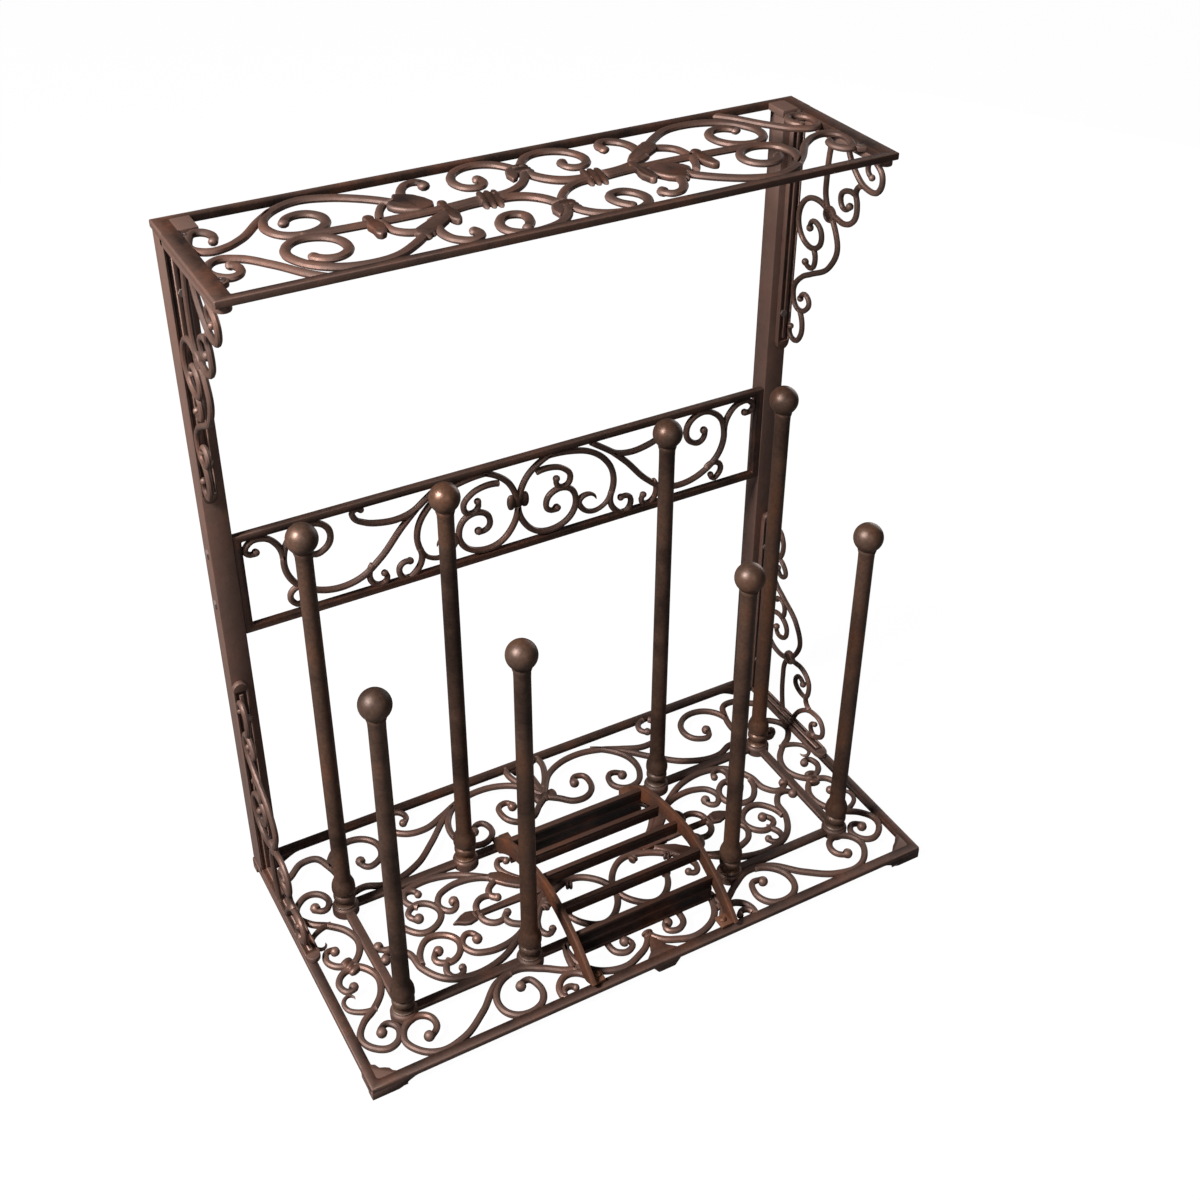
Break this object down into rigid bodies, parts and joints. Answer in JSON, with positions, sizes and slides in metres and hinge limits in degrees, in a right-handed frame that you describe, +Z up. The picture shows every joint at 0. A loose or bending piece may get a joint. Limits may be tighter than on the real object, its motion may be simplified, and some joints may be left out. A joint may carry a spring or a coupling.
{
  "type": "boot rack",
  "caption": "Cast-iron boot rack: scroll-work base with ball-topped boot posts and a boot scraper, two uprights, a scroll-work back panel and a bracketed top shelf.",
  "frame": {"origin": "on the floor, under the middle of the base", "axes": "+X to the right across the rack, +Y to its back, +Z up"},
  "size_m": [0.6, 0.316, 0.704],
  "materials": {
    "rusted_iron": "cast, rust-brown patina",
    "post_iron": "cast, rust-brown patina, smoother from handling",
    "orange_rust": "cast, orange-brown rust",
    "dark_iron": "dark, worn along its edges",
    "fasteners": "dull brown"
  },
  "bodies": {
    "root": {"base_grille": "rusted_iron", "back_panel": "rusted_iron", "top_shelf": "rusted_iron", "upright_left": "rusted_iron", "upright_right": "rusted_iron", "upper_bracket_left": "rusted_iron", "upper_bracket_right": "rusted_iron", "lower_bracket_left": "rusted_iron", "lower_bracket_right": "rusted_iron", "scraper_cheek_left": "orange_rust", "scraper_cheek_right": "orange_rust", "scraper_rear_plate": "dark_iron", "scraper_blade_1": "dark_iron", "scraper_blade_2": "dark_iron", "scraper_blade_3": "dark_iron", "scraper_front_plate": "dark_iron", "post_nuts": "fasteners", "panel_bolts_left": "fasteners", "panel_bolts_right": "fasteners", "bracket_screws": "fasteners", "boot_post_back_1": "post_iron", "boot_post_back_2": "post_iron", "boot_post_back_3": "post_iron", "boot_post_back_4": "post_iron", "boot_post_front_1": "post_iron", "boot_post_front_2": "post_iron", "boot_post_front_3": "post_iron", "boot_post_front_4": "post_iron"}
  },
  "joints": []
}
